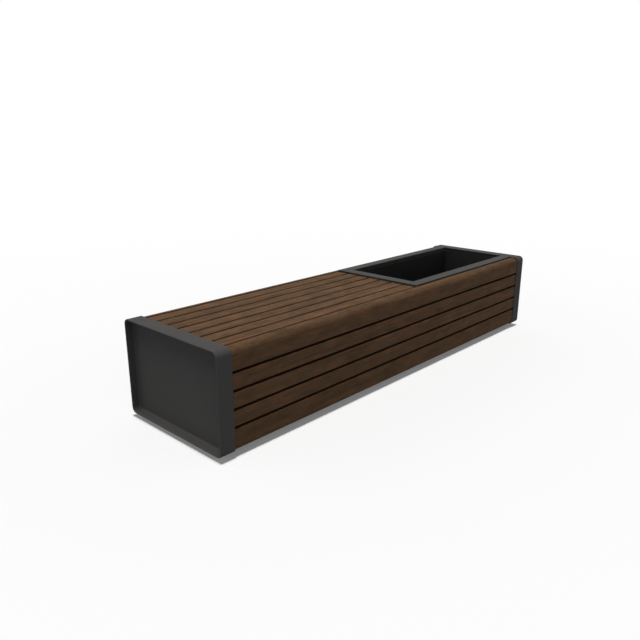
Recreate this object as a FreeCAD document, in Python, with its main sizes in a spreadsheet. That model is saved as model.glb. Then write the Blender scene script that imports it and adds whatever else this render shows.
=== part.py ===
import FreeCAD, Part
import os
import Sketcher

# Street bench with a planter at its right end. Wooden slats stand round a core of angle
# frames, two shallow end plates close the ends, and a lift-out liner hangs in a raised rim.
# X runs along the bench, -Y is the front, +Z is up. The origin is on the ground, under the
# middle of the bench. All sizes are millimetres.

DIMENSIONS = {
    "bench_length": 2420.0,
    "bench_width": 625.0,
    "ground_gap": 18.0,
    "plate_height": 432.0,
    "plate_depth": 72.0,
    "plate_sheet": 4.0,
    "plate_recess": 38.0,
    "plate_radius": 25.0,
    "plate_crease": 8.0,
    "plate_edge": 1.2,
    "plate_rim": 7.0,
    "plate_rim_edge": 2.5,
    "notch_depth": 27.0,
    "notch_half": 258.0,
    "plate_stud_length": 16.0,
    "cut_spare": 1.0,
    "slat_inset": 4.3,
    "slat_end_gap": 1.0,
    "slat_thickness": 41.2,
    "slat_width": 64.2,
    "slat_gap": 11.0,
    "corner_slat_width": 93.0,
    "corner_slat_radius": 28.0,
    "corner_row_low": 14.0,
    "corner_row_high": 39.0,
    "skirt_slat_width": 92.7,
    "skirt_row_low": 36.0,
    "skirt_row_high": 72.0,
    "slat_arris": 2.5,
    "angle_leg": 40.0,
    "angle_sheet": 4.0,
    "frame_bottom": 45.0,
    "frame_pitch": 405.0,
    "cradle_pitch": 504.5,
    "beam_width": 60.0,
    "beam_height": 40.0,
    "beam_wall": 3.0,
    "beam_offset": 180.0,
    "tab_width": 50.0,
    "seat_thickness": 5.0,
    "rim_start": 105.5,
    "rim_slat_gap": 7.5,
    "rim_width": 60.0,
    "rim_side_gap": 2.0,
    "rim_end_gap": 0.5,
    "rim_rise": 3.6,
    "rim_lip": 15.0,
    "rim_sheet": 4.0,
    "rim_edge": 1.5,
    "rim_stud_length": 26.0,
    "end_angle_gap": 0.5,
    "liner_wall": 3.0,
    "liner_side_gap": 4.0,
    "liner_lip": 8.0,
    "liner_drop": 16.6,
    "liner_radius": 25.0,
    "liner_pad": 3.0,
    "lift_gap": 0.2,
    "drain_radius": 8.0,
    "foot_radius": 25.0,
    "foot_height": 10.0,
    "foot_edge": 3.0,
    "foot_bevel_radius": 20.0,
    "foot_bevel_top": 7.0,
    "foot_hub_radius": 12.5,
    "foot_offset": 230.0,
    "stud_radius": 5.9,
    "stud_top": 78.0,
    "collar_radius": 9.4,
    "collar_height": 6.0,
    "thread_gap": 0.1,
    "foot_nut_height": 10.0,
    "anchor_offset": 100.0,
    "anchor_radius": 6.5,
    "bolt_radius": 4.0,
    "bolt_gap": 0.5,
    "bolt_head": 5.2,
    "bolt_length": 15.0,
    "bolt_nut_height": 6.4,
    "screw_radius": 3.0,
    "screw_length": 35.0,
    "screw_head": 5.5,
    "screw_tip": 0.2,
    "screw_gap": 0.3,
}

FRAMES = 4
CRADLES = 3
TOP_SLATS = 7
SIDE_SLATS = 4

# A slat's two lines of screws lie a quarter of its width from its edges.
SCREW_ROW = 0.25

# The drain holes' places, as shares of half the liner's length and width
DRAIN_COLUMNS = (-0.75, -0.25, 0.25, 0.75)
DRAIN_ROWS = (-0.5, 0.5)

# A hexagon's corner radius as a multiple of its thread's radius
HEXAGON_REACH = 1.8

TOLERANCE = 0.01

doc = FreeCAD.newDocument("BenchWithPlanter")


class Size:
    """A length worked out from the sheet: its expression, and its value in millimetres."""

    def __init__(self, text, value):
        self.text = text
        self.value = value

    def __add__(self, other):
        return Size(f"({self.text} + {size(other).text})", self.value + size(other).value)

    def __radd__(self, other):
        return size(other) + self

    def __sub__(self, other):
        return Size(f"({self.text} - {size(other).text})", self.value - size(other).value)

    def __rsub__(self, other):
        return size(other) - self

    def __mul__(self, number):
        return Size(f"({self.text} * {number})", self.value * number)

    __rmul__ = __mul__

    def __truediv__(self, number):
        return Size(f"({self.text} / {number})", self.value / number)

    def __neg__(self):
        return Size(f"(-1 * {self.text})", -self.value)


def size(value):
    """A Size as it is, or a plain number as a Size."""
    return value if isinstance(value, Size) else Size(str(value), float(value))


def make_sheet():
    """Write the driving dimensions to the sheet, one aliased cell each."""
    sheet = doc.addObject("Spreadsheet::Sheet", "Dimensions")
    for row, (alias, value) in enumerate(DIMENSIONS.items(), start=1):
        sheet.set(f"A{row}", alias)
        sheet.set(f"B{row}", str(value))
        sheet.setAlias(f"B{row}", alias)
    doc.recompute()
    return {alias: Size(f"Dimensions.{alias}", sheet.get(alias)) for alias in DIMENSIONS}


D = make_sheet()


# Levels and stations that several pieces share

HALF_LENGTH = D["bench_length"] / 2
HALF_WIDTH = D["bench_width"] / 2
PLATE_TOP = D["ground_gap"] + D["plate_height"]
WEB_INNER = HALF_LENGTH - D["plate_recess"] - D["plate_sheet"]
SLAT_END = WEB_INNER - D["slat_end_gap"]
WOOD_HALF = HALF_WIDTH - D["slat_inset"]
WOOD_TOP = PLATE_TOP - D["slat_inset"]
CORE_HALF = WOOD_HALF - D["slat_thickness"]
CORE_TOP = WOOD_TOP - D["slat_thickness"]
SLAT_PITCH = D["slat_width"] + D["slat_gap"]
CORNER_BOTTOM = WOOD_TOP - D["corner_slat_width"]
BEAM_BOTTOM = D["frame_bottom"] + D["angle_leg"]
BEAM_TOP = BEAM_BOTTOM + D["beam_height"]
RIM_TOP = PLATE_TOP + D["rim_rise"]
RIM_BOTTOM = RIM_TOP - D["rim_lip"]
RIM_HALF = CORE_HALF - D["rim_side_gap"]
RIM_INNER_HALF = RIM_HALF - D["rim_width"]
RIM_MIDDLE = (RIM_HALF + RIM_INNER_HALF) / 2
OPENING_START = D["rim_start"] + D["rim_width"]
OPENING_END = HALF_LENGTH - D["plate_depth"]
OPENING_MIDDLE = (OPENING_START + OPENING_END) / 2
FRAME_STARTS = [-WEB_INNER + D["frame_pitch"] * index for index in range(FRAMES)]
CRADLE_STARTS = [WEB_INNER - D["angle_leg"] - D["cradle_pitch"] * (CRADLES - 1 - index)
                 for index in range(CRADLES)]
SCREW_STATIONS = [start + D["angle_leg"] / 2 for start in FRAME_STARTS + CRADLE_STARTS]
FOOT_STATIONS = [SCREW_STATIONS[0], SCREW_STATIONS[FRAMES - 1], SCREW_STATIONS[-1]]


def slat_bottoms():
    """Lower edges of the side slats: the wide skirt slat first, then the others upwards."""
    upper = [CORNER_BOTTOM - SLAT_PITCH * step for step in range(SIDE_SLATS - 1, 0, -1)]
    return [upper[0] - D["slat_gap"] - D["skirt_slat_width"]] + upper


def slat_widths():
    """Widths of the side slats, in the order of slat_bottoms."""
    return [D["skirt_slat_width"]] + [D["slat_width"]] * (SIDE_SLATS - 1)


# Lines of screws across a slat, from its lower or front edge. The corner slat has them in
# its lower half and the skirt slat above its middle, where the frames stand behind the wood.
PLAIN_ROWS = [D["slat_width"] * SCREW_ROW, D["slat_width"] * (1 - SCREW_ROW)]
CORNER_ROWS = [D["corner_row_low"], D["corner_row_high"]]
SIDE_ROWS = [[D["skirt_row_low"], D["skirt_row_high"]]] + [PLAIN_ROWS] * (SIDE_SLATS - 1)


def side_screw_heights():
    """Height of every screw through one side of the frames."""
    heights = [CORNER_BOTTOM + row for row in CORNER_ROWS]
    for bottom, rows in zip(slat_bottoms(), SIDE_ROWS):
        heights += [bottom + row for row in rows]
    return heights


def top_slat_starts():
    """Front edge of each top slat, from the front to the back."""
    middle = (TOP_SLATS - 1) / 2
    return [SLAT_PITCH * (index - middle) - D["slat_width"] / 2 for index in range(TOP_SLATS)]


def bind(thing, prop, length):
    """Tie a property to the sheet."""
    thing.setExpression(prop, size(length).text)


def place(thing, x=0, y=0, z=0, turn=None):
    """Put a piece at x, y, z, after a turn of so many degrees about an axis."""
    if turn:
        axis, degrees = turn
        thing.Placement = FreeCAD.Placement(FreeCAD.Vector(), FreeCAD.Rotation(axis, degrees))
    bind(thing, "Placement.Base.x", x)
    bind(thing, "Placement.Base.y", y)
    bind(thing, "Placement.Base.z", z)


def new_body(label):
    """A body that becomes the node of the same name."""
    body = doc.addObject("PartDesign::Body", label)
    body.Label = label
    return body


def origin_feature(body, role):
    """One of a body's own origin planes or axes."""
    return next(item for item in body.Origin.OriginFeatures if item.Role == role)


def sketch_on(body, role, offset=0):
    """A sketch on one of the body's origin planes, or parallel to it."""
    sketch = body.newObject("Sketcher::SketchObject", "Sketch")
    sketch.AttachmentSupport = [(origin_feature(body, role), "")]
    sketch.MapMode = "FlatFace"
    bind(sketch, "AttachmentOffset.Base.z", offset)
    return sketch


def pin_point(sketch, geometry, vertex, x, y):
    """Hold a point of the sketch at x, y from its origin."""
    for kind, length in (("DistanceX", x), ("DistanceY", y)):
        rule = Sketcher.Constraint(kind, -1, 1, geometry, vertex, size(length).value)
        index = sketch.addConstraint(rule)
        sketch.setExpression(f"Constraints[{index}]", size(length).text)


def outline(sketch, points):
    """Draw a closed outline of straight lines through the points."""
    spots = [FreeCAD.Vector(size(x).value, size(y).value, 0) for x, y in points]
    lines = [sketch.addGeometry(Part.LineSegment(spot, spots[(index + 1) % len(spots)]), False)
             for index, spot in enumerate(spots)]
    for index, line in enumerate(lines):
        following = lines[(index + 1) % len(lines)]
        sketch.addConstraint(Sketcher.Constraint("Coincident", line, 2, following, 1))
        pin_point(sketch, line, 1, *points[index])


def rectangle(sketch, left, bottom, right, top):
    """Draw a rectangle between two opposite corners."""
    outline(sketch, [(left, bottom), (right, bottom), (right, top), (left, top)])


def circles(sketch, centres, radius):
    """Draw circles of one radius."""
    for x, y in centres:
        middle = FreeCAD.Vector(size(x).value, size(y).value, 0)
        shape = Part.Circle(middle, FreeCAD.Vector(0, 0, 1), size(radius).value)
        circle = sketch.addGeometry(shape, False)
        pin_point(sketch, circle, 3, x, y)
        rule = Sketcher.Constraint("Radius", circle, size(radius).value)
        index = sketch.addConstraint(rule)
        sketch.setExpression(f"Constraints[{index}]", size(radius).text)


def pad(body, sketch, length):
    """Extrude a sketch along its normal."""
    feature = body.newObject("PartDesign::Pad", "Pad")
    feature.Profile = sketch
    bind(feature, "Length", length)
    return feature


def pocket(body, sketch, depth, forwards=False):
    """Cut a sketch into the body, against its normal or along it."""
    feature = body.newObject("PartDesign::Pocket", "Pocket")
    feature.Profile = sketch
    feature.Reversed = forwards
    bind(feature, "Length", depth)
    return feature


def fillet(body, radius, wanted):
    """Round the edges of the body's tip that the test accepts."""
    doc.recompute()
    base = body.Tip
    names = [f"Edge{index}" for index, edge in enumerate(base.Shape.Edges, start=1)
             if wanted(edge)]
    feature = body.newObject("PartDesign::Fillet", "Fillet")
    feature.Base = (base, names)
    bind(feature, "Radius", radius)
    return feature


def near(first, second):
    """Two lengths are the same."""
    return abs(size(first).value - size(second).value) < TOLERANCE


def is_along(edge, axis):
    """A straight edge that runs along x, y or z."""
    if edge.Curve.TypeId != "Part::GeomLine":
        return False
    return abs(getattr(edge.Curve.Direction, axis)) > 1 - TOLERANCE


def is_in_plane(edge, axis, level):
    """An edge that lies in the plane where x, y or z has one value."""
    box = edge.BoundBox
    low = getattr(box, axis.upper() + "Min")
    high = getattr(box, axis.upper() + "Max")
    return near(low, level) and near(high, level)


def end_plate(label, x, turn=None):
    """A shallow tray on edge: a rounded ring of sheet with a web across it, and weld studs.

    Its lower flange is cut back behind the web, where the feet and ground anchors pass.
    """
    body = new_body(label)
    sheet = D["plate_sheet"]
    height = D["plate_height"]
    block = sketch_on(body, "YZ_Plane")
    rectangle(block, -HALF_WIDTH, 0, HALF_WIDTH, height)
    pad(body, block, D["plate_depth"])
    trays = [(0, D["plate_recess"], D["plate_rim"], True),
             (D["plate_depth"], D["plate_depth"] - D["plate_recess"] - sheet, sheet, False)]
    for offset, depth, wall, forwards in trays:
        hollow = sketch_on(body, "YZ_Plane", offset)
        rectangle(hollow, wall - HALF_WIDTH, wall, HALF_WIDTH - wall, height - wall)
        pocket(body, hollow, depth, forwards)
    for wall in (D["plate_rim"], sheet, size(0)):
        round_corners(body, wall, height, D["plate_radius"] - wall)
    fillet(body, D["plate_crease"], lambda edge: is_in_plane(edge, "x", D["plate_recess"]))
    fillet(body, D["plate_rim_edge"], lambda edge: is_in_plane(edge, "x", 0))
    fillet(body, D["plate_edge"], lambda edge: is_in_plane(edge, "x", D["plate_depth"]))
    notch = sketch_on(body, "XY_Plane")
    rectangle(notch, D["plate_depth"] - D["notch_depth"], -D["notch_half"],
              D["plate_depth"] + D["cut_spare"], D["notch_half"])
    pocket(body, notch, sheet, forwards=True)
    studs = sketch_on(body, "YZ_Plane", D["plate_recess"] + sheet)
    circles(studs, [(y, z - D["ground_gap"]) for y, z in plate_stud_places()], D["bolt_radius"])
    pad(body, studs, D["plate_stud_length"])
    place(body, x=x, z=D["ground_gap"], turn=turn)
    return body


def round_corners(body, inset, height, radius):
    """Round the four corners along X that lie so far inside an end plate's outline."""
    side = (HALF_WIDTH - inset).value
    fillet(body, radius, lambda edge: is_along(edge, "x") and near(abs(edge.CenterOfMass.y), side)
           and (near(edge.CenterOfMass.z, inset) or near(edge.CenterOfMass.z, height - inset)))


def plate_stud_places():
    """Where the weld studs stand on an end plate's web, as y and z."""
    column = CORE_HALF - D["angle_leg"] / 2
    levels = [BEAM_TOP, (BEAM_TOP + CORE_TOP) / 2, CORE_TOP - D["angle_leg"]]
    return [(side * column, level) for side in (-1, 1) for level in levels]


def slat(label, start, end, width, rows, stations, rounding=None, **placing):
    """A slat with its inner face down, its long edges eased and screw holes in that face.

    A slat at an edge of the bench has a large rounding, given as the edge's y and a radius.
    """
    body = new_body(label)
    thickness = D["slat_thickness"]
    section = sketch_on(body, "YZ_Plane")
    rectangle(section, 0, 0, width, thickness)
    pad(body, section, end - start)
    if rounding:
        round_at, radius = rounding
        fillet(body, radius, lambda edge: is_along(edge, "x")
               and near(edge.CenterOfMass.y, round_at) and near(edge.CenterOfMass.z, thickness))
    fillet(body, D["slat_arris"], lambda edge: is_along(edge, "x") and is_corner(edge, width))
    holes = sketch_on(body, "XY_Plane")
    centres = [(station - start, row) for station in stations for row in rows]
    circles(holes, centres, D["screw_radius"] + D["thread_gap"] / 2)
    pocket(body, holes, D["screw_length"] - D["angle_sheet"] + D["cut_spare"], forwards=True)
    place(body, x=start, **placing)
    return body


def is_corner(edge, width):
    """An edge at a corner of a slat's rectangular section."""
    spot = edge.CenterOfMass
    return (near(spot.y, 0) or near(spot.y, width)) and (
        near(spot.z, 0) or near(spot.z, D["slat_thickness"]))


def make_slats():
    """All the timber: two rounded corner slats, the seat's top slats and both sides."""
    forwards = (FreeCAD.Vector(1, 0, 0), 90)
    backwards = (FreeCAD.Vector(1, 0, 0), -90)
    corner, corner_radius = D["corner_slat_width"], D["corner_slat_radius"]
    skirt_radius = D["plate_radius"] - D["slat_inset"]
    nodes = [
        slat("corner_slat_front", -SLAT_END, SLAT_END, corner, CORNER_ROWS, SCREW_STATIONS,
             rounding=(corner, corner_radius), y=-CORE_HALF, z=CORNER_BOTTOM, turn=forwards),
        slat("corner_slat_back", -SLAT_END, SLAT_END, corner, [corner - row for row in CORNER_ROWS],
             SCREW_STATIONS, rounding=(0, corner_radius), y=CORE_HALF, z=WOOD_TOP, turn=backwards),
    ]
    top_end = D["rim_start"] - D["rim_slat_gap"]
    for number, edge in enumerate(top_slat_starts(), start=1):
        nodes.append(slat(f"top_slat_{number}", -SLAT_END, top_end, D["slat_width"], PLAIN_ROWS,
                          SCREW_STATIONS[:FRAMES], y=edge, z=CORE_TOP))
    sides = zip(slat_bottoms(), slat_widths(), SIDE_ROWS)
    for number, (bottom, width, rows) in enumerate(sides, start=1):
        is_skirt = number == 1
        nodes.append(slat(f"front_slat_{number}", -SLAT_END, SLAT_END, width, rows,
                          SCREW_STATIONS, rounding=(0, skirt_radius) if is_skirt else None,
                          y=-CORE_HALF, z=bottom, turn=forwards))
        nodes.append(slat(f"back_slat_{number}", -SLAT_END, SLAT_END, width,
                          [width - row for row in rows], SCREW_STATIONS,
                          rounding=(width, skirt_radius) if is_skirt else None,
                          y=CORE_HALF, z=bottom + width, turn=backwards))
    return nodes


def hoop_outline(sketch, inset, top, is_open):
    """A band of the given depth round the core, closed, or open at the top."""
    left, right = -CORE_HALF, CORE_HALF
    bottom = D["frame_bottom"]
    if is_open:
        outline(sketch, [(left, bottom), (right, bottom), (right, top), (right - inset, top),
                         (right - inset, bottom + inset), (left + inset, bottom + inset),
                         (left + inset, top), (left, top)])
        return
    rectangle(sketch, left, bottom, right, top)
    rectangle(sketch, left + inset, bottom + inset, right - inset, top - inset)


def support_frame(label, start, is_cradle=False, is_last=False, has_feet=False, is_end=False):
    """A hoop of angle section round the core, or a cradle that is open at the top.

    An end frame lies against an end plate's web, and the last one has its web on its far side.
    """
    body = new_body(label)
    leg, sheet = D["angle_leg"], D["angle_sheet"]
    top = RIM_BOTTOM - D["seat_thickness"] if is_cradle else CORE_TOP
    flange = sketch_on(body, "YZ_Plane")
    hoop_outline(flange, sheet, top, is_cradle)
    pad(body, flange, leg)
    web_start = leg - sheet if is_last else size(0)
    web = sketch_on(body, "YZ_Plane", web_start)
    hoop_outline(web, leg, top, is_cradle)
    pad(body, web, sheet)
    ledges = sketch_on(body, "YZ_Plane")
    for side in (-1, 1):
        middle = side * D["beam_offset"]
        rectangle(ledges, middle - D["tab_width"] / 2, BEAM_BOTTOM - sheet,
                  middle + D["tab_width"] / 2, BEAM_BOTTOM)
        if is_cradle:
            inner, outer = side * RIM_INNER_HALF, side * CORE_HALF
            rectangle(ledges, inner, top, outer, RIM_BOTTOM)
    pad(body, ledges, leg)
    drill_bars(body, is_cradle and not is_last, not is_cradle)
    drill_floor(body, has_feet, is_end)
    if is_end:
        studs = sketch_on(body, "YZ_Plane", web_start)
        circles(studs, plate_stud_places(), D["bolt_radius"] + D["bolt_gap"])
        pocket(body, studs, sheet, forwards=True)
    place(body, x=start)
    return body


def drill_bars(body, holds_rim, holds_seat):
    """Holes for the slat screws, the beam bolts and the rim's studs."""
    middle = D["angle_leg"] / 2
    screw_hole = D["screw_radius"] + D["screw_gap"]
    bolt_hole = D["bolt_radius"] + D["bolt_gap"]
    sides = sketch_on(body, "XZ_Plane", -CORE_HALF)
    circles(sides, [(middle, height) for height in side_screw_heights()], screw_hole)
    pocket(body, sides, D["bench_width"], forwards=True)
    tabs = sketch_on(body, "XY_Plane", BEAM_BOTTOM)
    circles(tabs, [(middle, side * D["beam_offset"]) for side in (-1, 1)], bolt_hole)
    pocket(body, tabs, D["angle_sheet"])
    if holds_seat:
        roof = sketch_on(body, "XY_Plane", CORE_TOP)
        rows = [edge + row for edge in top_slat_starts() for row in PLAIN_ROWS]
        circles(roof, [(middle, row) for row in rows], screw_hole)
        pocket(body, roof, D["angle_sheet"])
    if holds_rim:
        seats = sketch_on(body, "XY_Plane", RIM_BOTTOM)
        circles(seats, [(middle, side * RIM_MIDDLE) for side in (-1, 1)], bolt_hole)
        pocket(body, seats, D["seat_thickness"])


def drill_floor(body, has_feet, has_anchors):
    """Holes in the lower bar for the feet and the ground anchors."""
    offsets = [D["foot_offset"]] * has_feet + [D["anchor_offset"]] * has_anchors
    if not offsets:
        return
    floor = sketch_on(body, "XY_Plane", D["frame_bottom"])
    circles(floor, [(D["angle_leg"] / 2, side * offset) for offset in offsets for side in (-1, 1)],
            D["anchor_radius"])
    pocket(body, floor, D["angle_sheet"], forwards=True)


def make_frames():
    """Four closed hoops under the seat and three open cradles round the planter."""
    nodes = []
    for number, start in enumerate(FRAME_STARTS, start=1):
        nodes.append(support_frame(f"seat_frame_{number}", start, has_feet=number in (1, FRAMES),
                                   is_end=number == 1))
    for number, start in enumerate(CRADLE_STARTS, start=1):
        is_last = number == CRADLES
        nodes.append(support_frame(f"planter_frame_{number}", start, is_cradle=True,
                                   is_last=is_last, has_feet=is_last, is_end=is_last))
    return nodes


def base_beam(label, side):
    """A box-section beam that runs the whole length on the frames' lower bars."""
    body = new_body(label)
    half, wall = D["beam_width"] / 2, D["beam_wall"]
    section = sketch_on(body, "YZ_Plane")
    rectangle(section, -half, 0, half, D["beam_height"])
    rectangle(section, wall - half, wall, half - wall, D["beam_height"] - wall)
    pad(body, section, SLAT_END * 2)
    holes = sketch_on(body, "XY_Plane")
    circles(holes, [(station + SLAT_END, 0) for station in SCREW_STATIONS],
            D["bolt_radius"] + D["bolt_gap"])
    pocket(body, holes, wall, forwards=True)
    place(body, x=-SLAT_END, y=side * D["beam_offset"], z=BEAM_BOTTOM)
    return body


def rim_outline(sketch, inset, end):
    """A U round three sides of the planter's opening, drawn in from both edges by inset."""
    left, inner_left = D["rim_start"] + inset, OPENING_START - inset
    outer, inner = RIM_HALF - inset, RIM_INNER_HALF + inset
    outline(sketch, [(left, -outer), (end, -outer), (end, -inner), (inner_left, -inner),
                     (inner_left, inner), (end, inner), (end, outer), (left, outer)])


def planter_rim():
    """A welded rim of folded sheet: a flat top with a short lip down both edges."""
    body = new_body("planter_rim")
    end = OPENING_END - D["rim_end_gap"]
    block = sketch_on(body, "XY_Plane")
    rim_outline(block, size(0), end)
    pad(body, block, D["rim_lip"])
    channel = sketch_on(body, "XY_Plane")
    rim_outline(channel, D["rim_sheet"], end + D["cut_spare"])
    pocket(body, channel, D["rim_lip"] - D["rim_sheet"], forwards=True)
    fillet(body, D["rim_edge"], lambda edge: is_in_plane(edge, "z", D["rim_lip"])
           and not is_in_plane(edge, "x", end))
    place(body, z=RIM_BOTTOM)
    return body


def rim_end_angle():
    """An angle under the right end plate's flange that finishes the planter's fourth side."""
    body = new_body("rim_end_angle")
    leg, sheet = WEB_INNER - OPENING_END, D["rim_sheet"]
    half_wide = RIM_INNER_HALF - D["end_angle_gap"]
    section = sketch_on(body, "XZ_Plane")
    outline(section, [(0, 0), (sheet, 0), (sheet, leg - sheet), (leg, leg - sheet),
                      (leg, leg), (0, leg)])
    pad(body, section, half_wide * 2)
    place(body, x=OPENING_END, y=half_wide, z=PLATE_TOP - D["plate_sheet"] - leg)
    return body


def planter_liner():
    """A lift-out trough of black sheet with a narrow lip and a row of drain holes."""
    body = new_body("planter_liner")
    wall, lip, corner = D["liner_wall"], D["liner_lip"], D["liner_radius"]
    half_long = (OPENING_END - OPENING_START) / 2 - D["liner_side_gap"] - lip
    half_wide = RIM_INNER_HALF - D["liner_side_gap"] - lip
    bottom = BEAM_TOP + D["liner_pad"] + D["lift_gap"]
    height = RIM_TOP - D["liner_drop"] - bottom
    for reach, level, depth in ((0, 0, height), (lip, height - wall, wall)):
        block = sketch_on(body, "XY_Plane", level)
        rectangle(block, -half_long - reach, -half_wide - reach, half_long + reach, half_wide + reach)
        pad(body, block, depth)
    hollow = sketch_on(body, "XY_Plane", height)
    rectangle(hollow, wall - half_long, wall - half_wide, half_long - wall, half_wide - wall)
    pocket(body, hollow, height - wall)
    for reach, radius in ((-wall, corner - wall), (0, corner), (lip, corner)):
        fillet(body, radius, lambda edge, reach=reach: is_along(edge, "z")
               and near(abs(edge.CenterOfMass.x), half_long + reach))
    drains = sketch_on(body, "XY_Plane")
    circles(drains, [(half_long * column, half_wide * row) for column in DRAIN_COLUMNS
                     for row in DRAIN_ROWS], D["drain_radius"])
    pocket(body, drains, wall, forwards=True)
    place(body, x=OPENING_MIDDLE, z=bottom)
    return body


def foot_pad(label, x, y):
    """A round foot with a bevelled skirt and a flat hub for its stud."""
    body = new_body(label)
    radius, height = D["foot_radius"], D["foot_height"]
    half = sketch_on(body, "XZ_Plane")
    outline(half, [(0, 0), (radius, 0), (radius, D["foot_edge"]),
                   (D["foot_bevel_radius"], D["foot_bevel_top"]),
                   (D["foot_hub_radius"], height), (0, height)])
    turned = body.newObject("PartDesign::Revolution", "Revolution")
    turned.Profile = half
    turned.ReferenceAxis = (origin_feature(body, "Z_Axis"), [""])
    turned.Angle = 360
    place(body, x=x, y=y)
    return body


def foot_stud(label, x, y):
    """A threaded stud with a hexagon collar, standing on its foot."""
    shank = doc.addObject("Part::Cylinder", "Shank")
    bind(shank, "Radius", D["stud_radius"])
    bind(shank, "Height", D["stud_top"] - D["foot_height"])
    collar = doc.addObject("Part::Prism", "Collar")
    collar.Polygon = 6
    bind(collar, "Circumradius", D["collar_radius"])
    bind(collar, "Height", D["collar_height"])
    stud = doc.addObject("Part::MultiFuse", label)
    stud.Label = label
    stud.Shapes = [shank, collar]
    place(stud, x=x, y=y, z=D["foot_height"])
    return stud


def make_feet():
    """Six levelling feet, numbered from the left, front before back."""
    nodes = []
    number = 0
    for station in FOOT_STATIONS:
        for side in (-1, 1):
            number += 1
            offset = side * D["foot_offset"]
            nodes.append(foot_pad(f"foot_pad_{number}", station, offset))
            nodes.append(foot_stud(f"foot_stud_{number}", station, offset))
    return nodes


def hexagon(circumradius, height):
    """A hexagonal prism that stands on the XY plane."""
    corners = [FreeCAD.Vector(circumradius, 0, 0)]
    for step in range(1, 7):
        turn = FreeCAD.Rotation(FreeCAD.Vector(0, 0, 1), 60 * step)
        corners.append(turn.multVec(corners[0]))
    return Part.Face(Part.makePolygon(corners)).extrude(FreeCAD.Vector(0, 0, height))


def nut(bore, height):
    """A hexagon nut with a plain bore, standing on the XY plane."""
    return hexagon(bore * HEXAGON_REACH, height).cut(Part.makeCylinder(bore, height))


def wood_screw():
    """A pan-head screw that points up, with its head under the XY plane."""
    radius, head = D["screw_radius"].value, D["screw_head"].value
    length = D["screw_length"].value
    shank = Part.makeCylinder(radius, length - radius)
    point = D["screw_tip"].value
    tip = Part.makeCone(radius, point, radius, FreeCAD.Vector(0, 0, length - radius))
    cap = Part.makeCone(radius, head, radius, FreeCAD.Vector(0, 0, -radius))
    return shank.fuse([tip, cap]).removeSplitter()


def hex_bolt():
    """A hexagon bolt that points up, with its head under the XY plane."""
    radius, depth = D["bolt_radius"].value, D["bolt_head"].value
    head = hexagon(radius * HEXAGON_REACH, depth)
    head.translate(FreeCAD.Vector(0, 0, -depth))
    return Part.makeCylinder(radius, D["bolt_length"].value).fuse(head).removeSplitter()


def group(label, shape, places, turn=None):
    """Copies of one small part at several places, as separate solids in one node."""
    copies = []
    rotation = FreeCAD.Rotation(*turn) if turn else FreeCAD.Rotation()
    for x, y, z in places:
        spot = FreeCAD.Vector(size(x).value, size(y).value, size(z).value)
        copy = shape.copy()
        copy.Placement = FreeCAD.Placement(spot, rotation)
        copies.append(copy)
    node = doc.addObject("Part::Feature", label)
    node.Label = label
    node.Shape = Part.makeCompound(copies)
    return node


def make_screws():
    """The screws that hold the slats from inside, one node for each face of the bench."""
    screw = wood_screw()
    sheet = D["angle_sheet"]
    seat_places = [(station, edge + row, CORE_TOP - sheet) for station in SCREW_STATIONS[:FRAMES]
                   for edge in top_slat_starts() for row in PLAIN_ROWS]
    sides = {"front_screws": (-1, 90), "back_screws": (1, -90)}
    nodes = [group("seat_screws", screw, seat_places)]
    for label, (side, degrees) in sides.items():
        places = [(station, side * (CORE_HALF - sheet), height) for station in SCREW_STATIONS
                  for height in side_screw_heights()]
        nodes.append(group(label, screw, places, (FreeCAD.Vector(1, 0, 0), degrees)))
    return nodes


def make_fasteners():
    """Bolts and nuts of the steelwork, and the nuts that the feet turn in."""
    radius = D["bolt_radius"].value
    sheet = D["angle_sheet"]
    small_nut = nut(radius, D["bolt_nut_height"].value)
    joints = [(station, side * D["beam_offset"]) for station in SCREW_STATIONS for side in (-1, 1)]
    nodes = [
        group("beam_bolts", hex_bolt(), [(x, y, BEAM_BOTTOM - sheet) for x, y in joints]),
        group("beam_nuts", small_nut,
              [(x, y, BEAM_BOTTOM + D["beam_wall"]) for x, y in joints]),
    ]
    feet = [(x, side * D["foot_offset"], D["frame_bottom"] + sheet)
            for x in FOOT_STATIONS for side in (-1, 1)]
    foot_nut = nut((D["stud_radius"] + D["thread_gap"]).value, D["foot_nut_height"].value)
    nodes.append(group("foot_nuts", foot_nut, feet))
    studs = plate_stud_places()
    for label, x, degrees in (("left_plate_nuts", sheet - WEB_INNER, 90),
                              ("right_plate_nuts", WEB_INNER - sheet, -90)):
        places = [(x, y, z) for y, z in studs]
        nodes.append(group(label, small_nut, places, (FreeCAD.Vector(0, 1, 0), degrees)))
    rim_studs = [(x, side * RIM_MIDDLE, RIM_TOP - D["rim_sheet"])
                 for x in SCREW_STATIONS[FRAMES:-1] for side in (-1, 1)]
    rim_stud = Part.makeCylinder(radius, D["rim_stud_length"].value)
    nodes.append(group("rim_studs", rim_stud, rim_studs,
                       (FreeCAD.Vector(1, 0, 0), 180)))
    under_seat = RIM_BOTTOM - D["seat_thickness"]
    nodes.append(group("rim_nuts", small_nut, [(x, y, under_seat) for x, y, _ in rim_studs],
                       (FreeCAD.Vector(1, 0, 0), 180)))
    return nodes


def liner_pads():
    """Four rubber pads on the beams, under the corners of the liner."""
    blocks = []
    for number, (end, side) in enumerate(((-1, -1), (-1, 1), (1, -1), (1, 1)), start=1):
        block = doc.addObject("Part::Box", f"PadBlock{number}")
        bind(block, "Length", D["beam_width"] * 2)
        bind(block, "Width", D["beam_width"])
        bind(block, "Height", D["liner_pad"])
        reach = (OPENING_END - OPENING_START) / 2 - D["beam_width"] * 2
        place(block, x=OPENING_MIDDLE + end * reach - D["beam_width"],
              y=side * D["beam_offset"] - D["beam_width"] / 2, z=BEAM_TOP)
        blocks.append(block)
    pads = doc.addObject("Part::Compound", "liner_pads")
    pads.Label = "liner_pads"
    pads.Links = blocks
    return pads


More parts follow.
